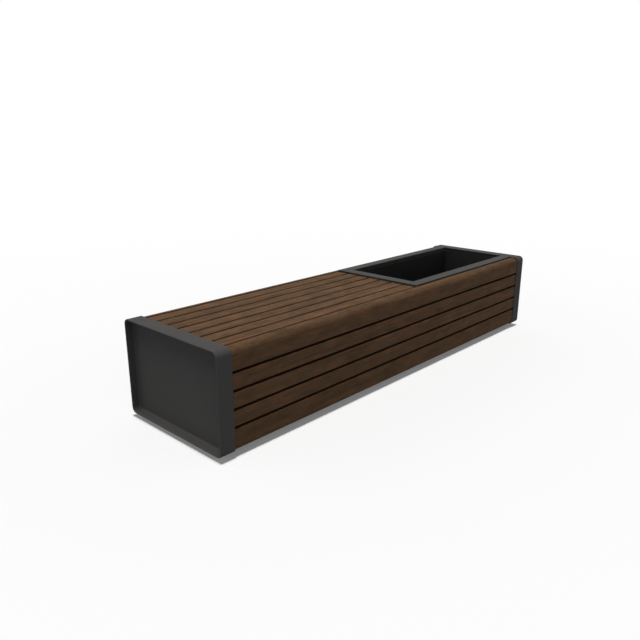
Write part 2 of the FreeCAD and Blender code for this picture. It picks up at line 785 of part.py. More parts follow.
def build():
    """Every node of the bench."""
    half_turn = (FreeCAD.Vector(0, 0, 1), 180)
    nodes = [end_plate("end_plate_left", -HALF_LENGTH),
             end_plate("end_plate_right", HALF_LENGTH, half_turn)]
    nodes += make_slats()
    nodes += make_frames()
    nodes += [base_beam("base_beam_front", -1), base_beam("base_beam_back", 1)]
    nodes += [planter_rim(), rim_end_angle(), planter_liner(), liner_pads()]
    nodes += make_feet()
    nodes += make_screws()
    nodes += make_fasteners()
    return nodes


def check(nodes):
    """Stop on any failed object or unsound shape."""
    for item in doc.Objects:
        if "Invalid" in item.State or "Error" in item.State:
            owner = item.getParentGeoFeatureGroup() or item
            raise RuntimeError(f"{owner.Label}: {item.Label} did not compute: {item.State}")
    for node in nodes:
        if node.Shape.isNull() or not node.Shape.isValid():
            raise RuntimeError(f"{node.Label} has no sound shape")


def export(nodes):
    """Write one STEP file for each node."""
    os.makedirs("parts", exist_ok=True)
    for node in nodes:
        node.Shape.exportStep(os.path.join("parts", f"{node.Label}.step"))
        count = len(node.Shape.Solids)
        print(f"{node.Label}: {count} solid, {node.Shape.Volume / 1000:.1f} cm3")


all_nodes = build()
doc.recompute()
check(all_nodes)
export(all_nodes)
print(len(all_nodes), "nodes")
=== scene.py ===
import math

import bpy
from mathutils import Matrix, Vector, noise


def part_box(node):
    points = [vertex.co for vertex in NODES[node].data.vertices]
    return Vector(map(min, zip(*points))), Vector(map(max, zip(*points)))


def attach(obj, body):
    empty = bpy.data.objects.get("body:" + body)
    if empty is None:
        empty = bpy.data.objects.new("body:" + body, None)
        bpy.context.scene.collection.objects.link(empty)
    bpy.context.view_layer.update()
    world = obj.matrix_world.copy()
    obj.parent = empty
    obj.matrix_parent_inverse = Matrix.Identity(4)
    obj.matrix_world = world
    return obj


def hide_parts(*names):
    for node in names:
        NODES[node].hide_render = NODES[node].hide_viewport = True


# The looks of a street bench with a planter: dark stained timber, dark grey powder coat,
# a black liner and plain steel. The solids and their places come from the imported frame.
# X runs along the bench, -Y is the front and +Z is up, in metres.

bl_info = {
    "name": "Bench with planter",
    "version": (1, 0, 0),
    "blender": (4, 5, 0),
    "location": "3D View > Sidebar > Bench",
    "description": "Dresses the bench's solids and sets up its studio",
    "category": "Object",
}

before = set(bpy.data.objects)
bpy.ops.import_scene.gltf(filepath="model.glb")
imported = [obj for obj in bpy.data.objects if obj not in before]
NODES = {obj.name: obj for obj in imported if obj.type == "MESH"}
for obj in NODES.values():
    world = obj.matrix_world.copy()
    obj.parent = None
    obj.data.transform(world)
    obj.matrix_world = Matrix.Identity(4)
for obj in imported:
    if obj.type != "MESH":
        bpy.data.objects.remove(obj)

MM = 0.001
FRONT, BACK, TOP = "front", "back", "top"

# How light the darker slats are, where the others have 1, and how far all stray from that
TONE_STRAY = 0.06
DARKER_SLATS = {"top_slat_3": 0.87, "top_slat_5": 0.88, "top_slat_6": 0.9, "front_slat_1": 0.94}

# An edge with a larger radius than this faces outwards, and a smaller one faces a gap. Each
# is drawn in its own number of steps.
LARGE_ROUND = 10 * MM
LARGE_STEPS = 16
SMALL_STEPS = 6

# How far under the weather face the painted shade between two slats starts
SHADE_DEPTH = 4.8 * MM

# How often a metre a slat bends and ripples along its length, and ripples across it, and how
# high its ripples are beside its bends
BENDS = 2.3
RIPPLES = 5.7
CROSS_RIPPLES = 20
RIPPLE_SHARE = 0.4

# Where a slat was cut from its tree: how far the tree's heart may lie to the side, its least
# depth and what may be added to it, how much a slat leans sideways and, beside that, in depth,
# and the length of tree between two slats
HEART_ASIDE = 120 * MM
HEART_DEPTH = 30 * MM
HEART_FURTHER = 160 * MM
LEAN = 0.03
DEPTH_LEAN = 0.7
TREE_LENGTH = 13.7

# A foot's stud: the height and chamfer of its hexagon collar, the reach of the collar's turned
# ends beside its flats, how fast they widen, and the outer radius of the thread
COLLAR_HEIGHT = 6 * MM
COLLAR_CHAMFER = 0.8 * MM
COLLAR_END = 0.96
COLLAR_SLOPE = 1.7
THREAD_RADIUS = 5.9 * MM


# Sizes and colours that a user would change


def length(name, description, millimetres):
    """A size property, given in millimetres and kept in metres."""
    return bpy.props.FloatProperty(name=name, description=description, default=millimetres * MM,
                                   min=0, subtype="DISTANCE", unit="LENGTH", precision=5)


def distance(name, description, metres):
    """A size property of the studio, given in metres."""
    return bpy.props.FloatProperty(name=name, description=description, default=metres,
                                   min=0, subtype="DISTANCE", unit="LENGTH")


def angle(name, description, degrees):
    """An angle property, given in degrees."""
    return bpy.props.FloatProperty(name=name, description=description,
                                   default=math.radians(degrees), min=0, max=math.pi,
                                   subtype="ANGLE", unit="ROTATION")


def strength(name, description, default):
    """A light's property, where 1 lights a white floor fully."""
    return bpy.props.FloatProperty(name=name, description=description, default=default,
                                   min=0, max=2)


def share(name, description, default):
    """A property between 0 and 1."""
    return bpy.props.FloatProperty(name=name, description=description, default=default,
                                   min=0, max=1, subtype="FACTOR")


def colour(name, description, red, green, blue):
    """A colour property, given as the 0 to 255 values of a picture."""
    linear = tuple(linear_value(level / 255) for level in (red, green, blue))
    return bpy.props.FloatVectorProperty(name=name, description=description, default=linear,
                                         min=0, max=1, size=3, subtype="COLOR")


def linear_value(level):
    """The light that a picture's level from 0 to 1 stands for."""
    if level <= 0.04045:
        return level / 12.92
    return ((level + 0.055) / 1.055) ** 2.4


class BenchTimberLook(bpy.types.PropertyGroup):
    seat_arris: length("Seat arris", "Radius of the seat slats' long edges", 2.4)
    side_arris: length("Side arris", "Radius of the side slats' long edges", 4.0)
    corner_round: length("Seat edge rounding", "Radius of the corner slats' outer edge", 28.0)
    skirt_round: length("Skirt rounding", "Radius of the lowest side slats' lower edge", 20.7)
    crown: length("Crown", "How far a slat's outer face is proud in its middle", 0.25)
    waver: length("Waver", "How far a slat's edges stray from a straight line", 0.25)
    end_chamfer: length("End chamfer", "Chamfer round a slat's ends", 1.2)
    heart: colour("Heartwood", "Main colour of the timber", 95, 73, 54)
    red: colour("Red patches", "Colour of the warmer patches", 100, 72, 53)
    olive: colour("Olive patches", "Colour of the cooler patches", 89, 71, 52)
    dark: colour("Late wood", "Colour of the dark growth lines", 65, 46, 34)
    ring_spacing: length("Ring spacing", "Distance between two growth lines", 5.0)
    relief: length("Relief", "Depth of the open grain", 0.35)
    side_calm: share("Calm sides", "How much fainter the grain is on the less weathered sides",
                     0.4)
    # Painted shade: how much darker the faces between two slats and the inner faces are
    gap_shade: share("Gap grime", "How much darker the faces between two slats are", 0.62)
    roughness: share("Roughness", "Roughness of the oiled surface", 0.75)
    sheen: share("Sheen", "How strongly the oiled surface mirrors", 0.05)


class BenchCoatLook(bpy.types.PropertyGroup):
    grey: colour("Coat", "Colour of the powder coat outside", 77, 77, 77)
    black: colour("Inner coat", "Colour of the coat on the inner steelwork", 40, 40, 41)
    dust: colour("Dust", "Colour of the dust on upward faces", 104, 104, 101)
    dust_share: share("Dust share", "How much of the upward faces the dust covers", 0.04)
    # Painted shade: how much darker the rim's upright and downward faces are
    rim_flank_shade: share("Rim grime", "How much darker the rim's upright edges are", 0.45)
    peel: length("Peel size", "Size of the coat's small bumps", 1.1)
    peel_depth: length("Peel depth", "Depth of the coat's small bumps", 0.06)
    roughness: share("Roughness", "Roughness of the coat", 0.75)
    sheen: share("Sheen", "How strongly the coat mirrors", 0.03)


class BenchLinerLook(bpy.types.PropertyGroup):
    black: colour("Liner", "Colour of the planter's liner", 38, 38, 38)
    rubber: colour("Rubber", "Colour of the pads under the liner", 34, 33, 32)
    foot: colour("Foot", "Colour of the feet's plastic pads", 38, 38, 39)
    pebble: length("Pebble size", "Size of the moulded pebbles", 1.6)
    pebble_depth: length("Pebble depth", "Depth of the moulded pebbles", 0.15)
    # Painted shade: how much darker the liner's upward faces are
    upward_shade: share("Soil stain", "How much darker soil has left the upward faces", 0.55)
    roughness: share("Roughness", "Roughness of the liner", 0.5)
    rubber_roughness: share("Rubber roughness", "Roughness of the pads under the liner", 0.75)
    foot_roughness: share("Foot roughness", "Roughness of the feet's plastic pads", 0.6)
    sheen: share("Sheen", "How strongly plastic and rubber mirror", 0.05)


class BenchSteelLook(bpy.types.PropertyGroup):
    zinc: colour("Zinc", "Colour of the plated fasteners", 150, 151, 153)
    roughness: share("Roughness", "Roughness of the zinc plate", 0.42)
    relief: length("Relief", "Depth between the zinc's crystals", 0.03)
    thread_pitch: length("Thread pitch", "Pitch of the levelling feet's thread", 1.75)
    thread_depth: length("Thread depth", "Depth of the levelling feet's thread", 0.8)


class BenchStudioLook(bpy.types.PropertyGroup):
    overhead: strength("Overhead light", "Share of the light that comes from above", 0.83)
    warmth: colour("Overhead tint", "Colour of the overhead light", 255, 250, 242)
    spread: angle("Spread", "Angle over which the overhead light is spread", 40)
    tilt: angle("Tilt", "How far the overhead light leans to the left end", 9)
    surround: strength("Surround", "Strength of the band of light all round the bench", 0.52)
    band: angle("Band", "How high over the horizon the light all round reaches", 35)
    planter_fill: strength("Planter fill", "Light from the left end that reaches into the liner",
                           0.17)
    fill_tilt: angle("Fill tilt", "How far the planter's fill light leans to the left end", 72)
    shadow_edge: angle("Shadow edge", "Angle that softens the shadow's edge on the floor", 3.3)
    floor: share("Floor", "How pale the floor looks", 0.98)
    lift: share("Shadow lift", "How pale the floor stays in full shadow", 0.118)
    bounce: share("Floor bounce", "How much light the floor throws back at the bench", 0.27)
    floor_reach: distance("Floor reach", "How far the floor reaches to each side", 60)
    fade_start: distance("Fade start", "How far from the bench's middle the floor turns white",
                         1.6)
    fade_end: distance("Fade end", "How far from the bench's middle the floor is all white", 6)
    flag_height: distance("Flag height", "Height of the unseen flag in the bench", 0.3)
    lens: bpy.props.FloatProperty(
        name="Lens", description="Focal length of the camera", default=35.09, min=1,
        subtype="DISTANCE_CAMERA", unit="CAMERA")
    eye: bpy.props.FloatVectorProperty(
        name="Camera", description="Where the camera stands", default=(-2.489, -2.0159, 1.2152),
        subtype="TRANSLATION", unit="LENGTH")
    aim: bpy.props.FloatVectorProperty(
        name="Aim", description="The camera's turn about X, Y and Z",
        default=(math.radians(72.97), 0, math.radians(-46.98)), subtype="EULER", unit="ROTATION")


# Materials


def both_ways(operation):
    """The methods that add a Math node for a signal on an operator's left and on its right."""
    def forward(signal, other):
        return signal.join(operation, signal, other)

    def reflected(signal, other):
        return signal.join(operation, other, signal)

    return forward, reflected


class Signal:
    """A shader node's output that takes part in Python arithmetic.

    Only values do so. Colours and vectors go through the shade, mix and vector of a Finish.
    """

    __add__, __radd__ = both_ways("ADD")
    __sub__, __rsub__ = both_ways("SUBTRACT")
    __mul__, __rmul__ = both_ways("MULTIPLY")
    __truediv__, __rtruediv__ = both_ways("DIVIDE")
    __pow__, __rpow__ = both_ways("POWER")

    def __init__(self, finish, socket):
        self.finish = finish
        self.socket = socket

    def join(self, operation, first, second):
        """A Math node that works on two signals or numbers."""
        return self.finish.node("ShaderNodeMath", {"operation": operation},
                                {"Value": first, "Value_001": second})


class Finish:
    """The shader nodes of a material or of the world, from an empty start."""

    def __init__(self, owner):
        owner.use_nodes = True
        self.owner = owner
        self.tree = owner.node_tree
        self.tree.nodes.clear()

    def node(self, kind, settings=None, inputs=None, output=0):
        """Add a node: its settings first, then values or signals by socket identifier."""
        made = self.tree.nodes.new(kind)
        for key, value in (settings or {}).items():
            setattr(made, key, value)
        for key, value in (inputs or {}).items():
            socket = next(item for item in made.inputs if item.identifier == key)
            if isinstance(value, Signal):
                self.tree.links.new(value.socket, socket)
            else:
                socket.default_value = (*value, 1) if socket.type == "RGBA" else value
        return Signal(self, made.outputs[output]) if made.outputs else None

    def position(self):
        """Where a point is on the bench at rest."""
        return self.node("ShaderNodeTexCoord", output="Object")

    def attribute(self, name, output="Vector"):
        """A value that the mesh carries."""
        return self.node("ShaderNodeAttribute", {"attribute_name": name}, output=output)

    def parts(self, vector):
        """A vector's x, y and z."""
        split = self.node("ShaderNodeSeparateXYZ", inputs={"Vector": vector})
        return [Signal(self, socket) for socket in split.socket.node.outputs]

    def vector(self, x, y, z):
        """A vector from three signals."""
        return self.node("ShaderNodeCombineXYZ", inputs={"X": x, "Y": y, "Z": z})

    def upward(self):
        """How far a face looks up: 1 on a floor, 0 on a wall and -1 under a ceiling."""
        return self.parts(self.node("ShaderNodeNewGeometry", output="Normal"))[2]

    def upright(self):
        """1 on the faces that stand up or look down, and 0 on those that look up."""
        return 1 - self.ramp(self.upward(), 0.3, 0.8)

    def noise(self, vector, scale=1.0, detail=2.0, roughness=0.5):
        """Smooth noise from 0 to 1, mostly near 0.5."""
        return self.node("ShaderNodeTexNoise", inputs={
            "Vector": vector, "Scale": scale, "Detail": detail, "Roughness": roughness})

    def ramp(self, value, low, high):
        """How far a value is on its smooth way from low to high, from 0 to 1."""
        return self.node("ShaderNodeMapRange", {"interpolation_type": "SMOOTHSTEP"}, {
            "Value": value, "From Min": low, "From Max": high})

    def mix(self, factor, first, second):
        """A colour on the way from the first to the second."""
        return self.node("ShaderNodeMix", {"data_type": "RGBA"}, {
            "Factor_Float": factor, "A_Color": first, "B_Color": second}, "Result")

    def shade(self, tint, brightness):
        """A colour made lighter or darker by a value."""
        return self.node("ShaderNodeVectorMath", {"operation": "SCALE"}, {
            "Vector": tint, "Scale": brightness})

    def bump(self, height, depth, clarity):
        """Small relief of a height from 0 to 1, over a depth in metres."""
        return self.node("ShaderNodeBump", inputs={
            "Height": height, "Distance": depth, "Strength": clarity}, output="Normal")

    def surface(self, inputs):
        """Close the material with one shader, and give the material."""
        shader = self.node("ShaderNodeBsdfPrincipled", inputs=inputs)
        self.node("ShaderNodeOutputMaterial", inputs={"Surface": shader})
        return self.owner


def timber_material(look):
    """Dark stained hardwood: growth lines, fibres, pores and patches along the grain, with
    painted shade between the slats and on their inner faces.
    """
    finish = Finish(bpy.data.materials.new("dark_timber"))
    along, across, deep = finish.parts(finish.attribute("grain"))
    tone = finish.attribute("tone", "Fac")
    painted_shade = finish.attribute("painted_shade", "Fac")

    def drawn_out(lengthwise, sideways, detail=3, roughness=0.5):
        """Noise drawn out along the grain, with so many waves in a metre sideways."""
        place = finish.vector(lengthwise, across * sideways, deep * sideways)
        return finish.noise(place, detail=detail, roughness=roughness)

    # Growth lines: wavering rings round the tree's heart, darkest late in each year
    drift = drawn_out(along * 1.1, 7) - 0.5
    radius = (across * across + deep * deep) ** 0.5 + drift * 0.03
    cycle = finish.node("ShaderNodeMath", {"operation": "FRACT"},
                        {"Value": radius / look.ring_spacing})
    late = finish.ramp(cycle, 0.35, 0.9) * (1 - finish.ramp(cycle, 0.9, 1.0))

    # Fibres, pores and patches, by their waves in a metre lengthwise and sideways
    fibre = drawn_out(along * 9, 420, detail=4, roughness=0.62)
    streak = drawn_out(along * 2.2, 70)
    pore = finish.ramp(drawn_out(along * 55, 1500, detail=1), 0.6, 0.7)
    patch = drawn_out(along * 9, 22)
    cool = drawn_out(along * 7 + 40, 30)
    mottle = drawn_out(along * 26, 90, detail=4, roughness=0.65)

    # The colours that they give, and how much each lightens or darkens the timber
    tint = finish.mix(finish.ramp(patch, 0.47, 0.68), look.heart, look.red)
    tint = finish.mix(finish.ramp(cool, 0.5, 0.72) * 0.8, tint, look.olive)
    tint = finish.mix(late * 0.28, tint, look.dark)
    fine = (fibre - 0.5) * 0.8 + (streak - 0.5) * 0.9 + (mottle - 0.5) * 0.9
    broad = (patch - 0.5) * 0.9 + (cool - 0.5) * 0.6
    figure = tone + fine * (1 - finish.upright() * look.side_calm) + broad
    # The last factor paints shade on the faces between slats and on the inner faces
    light = figure * (1 - pore * 0.3) * (1 - painted_shade * look.gap_shade)
    height = fibre * 0.5 - late * 0.25 - pore * 0.6
    return finish.surface({
        "Base Color": finish.shade(tint, light),
        "Roughness": (fibre - 0.5) * 0.25 + pore * 0.1 + look.roughness,
        "Specular IOR Level": look.sheen,
        "Normal": finish.bump(height, look.relief, 0.5),
    })


def coat_material(name, tint, look, flank_shade=0.0):
    """Fine powder coat on steel: a faint veil of dust on top, and painted shade on upright and
    downward faces.
    """
    finish = Finish(bpy.data.materials.new(name))
    place = finish.position()
    peel = finish.noise(place, 1 / look.peel)
    cloud = finish.noise(place, 5, detail=3)
    speck = finish.noise(place, 2600, detail=1)
    lying = finish.ramp(finish.upward(), 0.6, 1.0)
    settled = lying * finish.ramp(cloud, 0.4, 0.7) * look.dust_share
    # The last factor paints shade on upright and downward faces
    light = ((cloud - 0.5) * 0.16 + (speck - 0.5) * 0.12 + 1) * (1 - finish.upright() * flank_shade)
    return finish.surface({
        "Base Color": finish.shade(finish.mix(settled, tint, look.dust), light),
        "Roughness": (peel - 0.5) * 0.12 + settled * 0.4 + look.roughness,
        "Specular IOR Level": look.sheen,
        "Normal": finish.bump(peel, look.peel_depth, 0.5),
    })


def moulded_material(name, tint, roughness, look, upward_shade=0.0):
    """Moulded black plastic or rubber with a pebbled face, and painted shade on its upward faces.
    """
    finish = Finish(bpy.data.materials.new(name))
    place = finish.position()
    grain = finish.noise(place, 1 / look.pebble, detail=3)
    cloud = finish.noise(place, 7, detail=3)
    # Painted shade on the upward faces, in clouds
    shaded_up = finish.ramp(finish.upward(), 0.4, 0.9) * (cloud * 0.6 + 0.7) * upward_shade
    light = ((cloud - 0.5) * 0.3 + (grain - 0.5) * 0.15 + 1) * (1 - shaded_up)
    return finish.surface({
        "Base Color": finish.shade(tint, light),
        "Roughness": (grain - 0.5) * 0.2 + (cloud - 0.5) * 0.1 + roughness,
        "Specular IOR Level": look.sheen,
        "Normal": finish.bump(grain, look.pebble_depth, 0.6),
    })


def zinc_material(look):
    """Bright zinc plate with small cloudy crystals and a dull film."""
    finish = Finish(bpy.data.materials.new("zinc_plate"))
    place = finish.position()
    cloud = finish.noise(place, 260, detail=3)
    film = finish.noise(place, 45, detail=4)
    light = (cloud - 0.5) * 0.35 + (film - 0.5) * 0.3 + 1
    return finish.surface({
        "Base Color": finish.shade(look.zinc, light),
        "Metallic": 1.0,
        "Roughness": (film - 0.5) * 0.3 + look.roughness,
        "Normal": finish.bump(cloud, look.relief, 0.4),
    })


# Meshes


def skin(rings):
    """Faces between rings of points that lie one on the other, and a face on each end."""
    count = len(rings[0])
    faces = []
    for low in range(0, (len(rings) - 1) * count, count):
        high = low + count
        for index in range(count):
            after = (index + 1) % count
            faces.append((low + index, low + after, high + after, high + index))
    last = (len(rings) - 1) * count
    return faces + [tuple(range(count))[::-1], tuple(range(last, last + count))]


def joined(name, shells):
    """A mesh of several closed shells, each as rings of points."""
    points, faces = [], []
    for rings in shells:
        start = len(points)
        points += [point for row in rings for point in row]
        faces += [tuple(start + index for index in face) for face in skin(rings)]
    mesh = bpy.data.meshes.new(name)
    mesh.from_pydata(points, [], faces)
    return mesh


def add_piece(mesh, node, body, material):
    """Put a mesh in the scene in the place of a node."""
    mesh.materials.append(material)
    piece = bpy.data.objects.new(mesh.name, mesh)
    bpy.context.scene.collection.objects.link(piece)
    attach(piece, body)
    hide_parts(node)


def paint(names, material):
    """Give nodes of the frame one material."""
    for name in names:
        for slot in NODES[name].material_slots:
            slot.material = material


def numbered(name, count):
    """The names of like nodes."""
    return [f"{name}_{number}" for number in range(1, count + 1)]


# Timber pieces


def quarter_turn(middle, radius, start, steps):
    """Points of a quarter turn about a middle, from an angle in degrees."""
    turns = [math.radians(start + 90 * step / steps) for step in range(steps + 1)]
    return [(middle[0] + radius * math.cos(turn), middle[1] + radius * math.sin(turn))
            for turn in turns]


def between(first, last):
    """Points along a face of the slat, close to its ends and a few in its middle."""
    shares = (0.04, 0.2, 0.4, 0.6, 0.8, 0.96)
    return [tuple(a + (b - a) * part for a, b in zip(first, last)) for part in shares]


def slat_section(size, radii):
    """A slat's outline, counter-clockwise from its inner left corner, as across and up.

    The four radii belong to the inner left, inner right, outer right and outer left corners.
    """
    width, thickness = size
    middles = [(radii[0], radii[0]), (width - radii[1], radii[1]),
               (width - radii[2], thickness - radii[2]), (radii[3], thickness - radii[3])]
    points = []
    for index, (middle, radius) in enumerate(zip(middles, radii)):
        steps = SMALL_STEPS if radius < LARGE_ROUND else LARGE_STEPS
        turn = quarter_turn(middle, radius, 180 + 90 * index, steps)
        if points:
            points += between(points[-1], turn[0])
        points += turn
    return points + between(points[-1], points[0])


def slat_stations(start, end, chamfer, step=40 * MM):
    """Places along a slat where its outline is drawn, with how far it is drawn in."""
    count = max(2, round((end - start) / step))
    middle = [(start + (end - start) * index / count, 0.0) for index in range(1, count)]
    near_start = [(start, chamfer), (start + chamfer, 0.0), (start + 3 * chamfer, 0.0)]
    near_end = [(end - 3 * chamfer, 0.0), (end - chamfer, 0.0), (end, chamfer)]
    return near_start + middle + near_end


def stray(x, y, z=0.0):
    """Smooth noise near 0, which is the same in each run."""
    return noise.noise(Vector((x, y, z)))


def slat_point(point, station, size, look, seed):
    """A point of a slat, as x, across and up: crowned, wavering, and drawn in at a chamfer."""
    (across, up), (x, inset), (width, thickness) = point, station, size
    middle, rise = width / 2, up / thickness
    bend = stray(x * BENDS, seed * 7.1) * look.waver
    ripple = stray(x * RIPPLES, seed * 3.3, across * CROSS_RIPPLES) * look.waver
    swell = math.sin(math.pi * across / width) * look.crown
    if inset:
        up = min(max(up, inset), thickness - inset)
    across = middle + (across - middle) * (1 - inset / middle) + bend * rise
    return x, across, up + (swell + ripple * RIPPLE_SHARE) * rise - look.crown


def shaded_points(section, size, radii):
    """1 for the outline's points on the inner face or in a gap to the next slat, where shade is
    painted, else 0.
    """
    width, thickness = size
    _, _, right, left = radii
    marks = []
    for across, up in section:
        inner = up < min(radii) / 2
        left_gap = across < left / 2 and left < LARGE_ROUND
        right_gap = across > width - right / 2 and right < LARGE_ROUND
        in_gap = (left_gap or right_gap) and up < thickness - SHADE_DEPTH
        marks.append(float(inner or in_gap))
    return marks


def tree_places(points, size, seed):
    """Where each point of a slat lies from the heart of its tree, as one flat list."""
    width, thickness = size
    aside = stray(seed * 1.7, 3.1) * HEART_ASIDE
    below = HEART_DEPTH + abs(stray(seed * 2.9, 7.7)) * HEART_FURTHER
    lean = stray(seed * 4.3, 1.3) * LEAN
    places = []
    for x, across, up in points:
        places += [x + seed * TREE_LENGTH, across - width / 2 + aside + lean * x,
                   up - thickness - below + lean * DEPTH_LEAN * x]
    return places


def bench_place(face, low, high, point):
    """A slat's x, across and up as a place on the bench, within its node's box."""
    x, across, up = point
    if face == TOP:
        return x, low.y + across, low.z + up
    if face == FRONT:
        return x, high.y - up, low.z + across
    return x, low.y + up, high.z - across


def make_slat(node, face, radii, look, seed, material):
    """A timber slat in the place of its node, with what its material reads as attributes."""
    low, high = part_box(node)
    deep, tall = high.y - low.y, high.z - low.z
    size = (deep, tall) if face == TOP else (tall, deep)
    section = slat_section(size, radii)
    rings = [[slat_point(point, station, size, look, seed) for point in section]
             for station in slat_stations(low.x, high.x, look.end_chamfer)]
    points = [point for ring in rings for point in ring]
    mesh = joined(f"timber_{node}", [rings])
    mesh.polygons.foreach_set("use_smooth", [True] * (len(mesh.polygons) - 2) + [False] * 2)
    tone = DARKER_SLATS.get(node, 1) + stray(seed * 5.9, 0.4, 9.2) * TONE_STRAY
    # The third attribute marks the points that get painted shade, in the gaps and on the inner
    # face
    for name, kind, key, values in (
            ("grain", "FLOAT_VECTOR", "vector", tree_places(points, size, seed)),
            ("tone", "FLOAT", "value", [tone] * len(points)),
            ("painted_shade", "FLOAT", "value", shaded_points(section, size, radii) * len(rings))):
        mesh.attributes.new(name, kind, "POINT").data.foreach_set(key, values)
    for vertex in mesh.vertices:
        vertex.co = bench_place(face, low, high, vertex.co)
    add_piece(mesh, node, "root", material)


# Feet


def upright_ring(axis, height, reaches):
    """Points round an upright axis at one height, one for each reach."""
    step = 2 * math.pi / len(reaches)
    return [(axis[0] + reach * math.cos(step * index), axis[1] + reach * math.sin(step * index),
             height) for index, reach in enumerate(reaches)]


def hexagon_shell(axis, low, high, corner, sides=48):
    """A six-sided collar with its corners turned off at both ends."""
    chamfer, flat = COLLAR_CHAMFER, corner * math.cos(math.pi / 6)
    reaches = [flat / math.cos((2 * math.pi * index / sides) % (math.pi / 3) - math.pi / 6)
               for index in range(sides)]
    rings = []
    for height, part in ((low, 0.0), (low + chamfer / 2, 0.5), (low + chamfer, 1.0),
                         (high - chamfer, 1.0), (high - chamfer / 2, 0.5), (high, 0.0)):
        most = flat * COLLAR_END + part * chamfer * COLLAR_SLOPE
        rings.append(upright_ring(axis, height, [min(reach, most) for reach in reaches]))
    return rings


def thread_shell(axis, low, high, look, sides=24, steps_in_pitch=8):
    """A threaded rod: rings whose reach follows the thread's ridge round the rod."""
    count = round((high - low) / look.thread_pitch * steps_in_pitch)
    rings = []
    for level in range(count + 1):
        height = low + (high - low) * level / count
        from_end = min(height - low, high - height)
        most = THREAD_RADIUS - look.thread_depth + from_end
        reaches = []
        for index in range(sides):
            phase = (height / look.thread_pitch - index / sides) % 1
            cut = look.thread_depth * min(1, abs(phase - 0.5) * 3)
            reaches.append(min(THREAD_RADIUS - cut, most))
        rings.append(upright_ring(axis, height, reaches))
    return rings


def make_stud(number, look, material):
    """A foot's threaded stud with its hexagon collar."""
    node = f"foot_stud_{number}"
    low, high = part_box(node)
    axis = ((low.x + high.x) / 2, (low.y + high.y) / 2)
    collar_top = low.z + COLLAR_HEIGHT
    mesh = joined(f"threaded_{node}", [
        hexagon_shell(axis, low.z, collar_top, (high.x - low.x) / 2),
        thread_shell(axis, collar_top, high.z, look)])
    add_piece(mesh, node, f"foot_{number}", material)


# Studio


def seen_directly(finish):
    """1 where the camera, a reflection or a look through glass meets a surface first."""
    camera, gloss, through = (finish.node("ShaderNodeLightPath", output=f"Is {ray} Ray")
                              for ray in ("Camera", "Glossy", "Transmission"))
    return finish.node("ShaderNodeMath", {"operation": "MAXIMUM"}, {
        "Value": camera, "Value_001": gloss + through})


def flat_piece(name, points, faces):
    """A flat piece of the studio, which isn't part of the bench."""
    mesh = bpy.data.meshes.new(name)
    mesh.from_pydata(points, [], faces)
    piece = bpy.data.objects.new(name, mesh)
    bpy.context.scene.collection.objects.link(piece)
    return piece


def make_floor(look):
    """A pale floor that turns white far away, and throws back less light than it shows."""
    reach = look.floor_reach
    floor = flat_piece("floor", [(-reach, -reach, 0), (reach, -reach, 0), (reach, reach, 0),
                                 (-reach, reach, 0)], [(0, 1, 2, 3)])
    finish = Finish(bpy.data.materials.new("studio_floor"))
    seen = seen_directly(finish)
    pale = finish.mix(seen, (look.bounce,) * 3, (look.floor,) * 3)
    matt = finish.node("ShaderNodeBsdfDiffuse", inputs={"Color": pale})
    white = finish.node("ShaderNodeEmission", inputs={"Strength": 1.0})
    away = finish.node("ShaderNodeVectorMath", {"operation": "LENGTH"},
                       {"Vector": finish.position()}, "Value")
    fade = finish.ramp(away, look.fade_start, look.fade_end)
    glow = (fade * (1 - look.lift) + look.lift) * seen
    finish.node("ShaderNodeOutputMaterial", inputs={"Surface": finish.node(
        "ShaderNodeMixShader", inputs={"Fac": glow, "Shader": matt, "Shader_001": white})})
    floor.data.materials.append(finish.owner)
    return floor


def make_flag(look):
    """An unseen flag in the hollow bench that keeps slivers of light off the floor.

    They would fall between the slats, and beside the liner, on the strip of floor under the
    edge. Its four panes leave the liner's place free.
    """
    low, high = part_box("planter_liner")
    first_low, first_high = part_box("seat_frame_1")
    last_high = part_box("planter_frame_3")[1]
    front, back = first_low.y, first_high.y
    points, faces = [], []
    for x0, y0, x1, y1 in ((first_low.x, front, low.x, back), (low.x, front, last_high.x, low.y),
                           (low.x, high.y, last_high.x, back),
                           (high.x, low.y, last_high.x, high.y)):
        faces.append(tuple(range(len(points), len(points) + 4)))
        points += [(x, y, look.flag_height) for x, y in ((x0, y0), (x1, y0), (x1, y1), (x0, y1))]
    flag = flat_piece("flag", points, faces)
    flag.visible_camera = flag.visible_diffuse = flag.visible_glossy = False
    flag.visible_transmission = flag.visible_volume_scatter = False


def add_lamp(name, power, tint, spread, tilt, target, only):
    """A lamp that leans from overhead to the left end, and lights the target or all but it."""
    lamp = bpy.data.lights.new(name, "SUN")
    lamp.energy = power * math.pi
    lamp.color = tint
    lamp.angle = spread
    holder = bpy.data.objects.new(name, lamp)
    holder.rotation_euler = (0, -tilt, 0)
    bpy.context.scene.collection.objects.link(holder)
    reach = bpy.data.collections.new(name)
    reach.objects.link(target)
    reach.collection_objects[0].light_linking.link_state = "INCLUDE" if only else "EXCLUDE"
    holder.light_linking.receiver_collection = reach


def make_lamps(look, floor):
    """A wide soft lamp from above, the floor's own crisper one, and one into the planter."""
    white = (1, 1, 1)
    add_lamp("overhead", look.overhead / math.cos(look.tilt), look.warmth, look.spread,
             look.tilt, floor, False)
    add_lamp("floor_light", look.overhead, white, look.shadow_edge, 0, floor, True)
    add_lamp("planter_fill", look.planter_fill, white, look.spread, look.fill_tilt,
             NODES["planter_liner"], True)


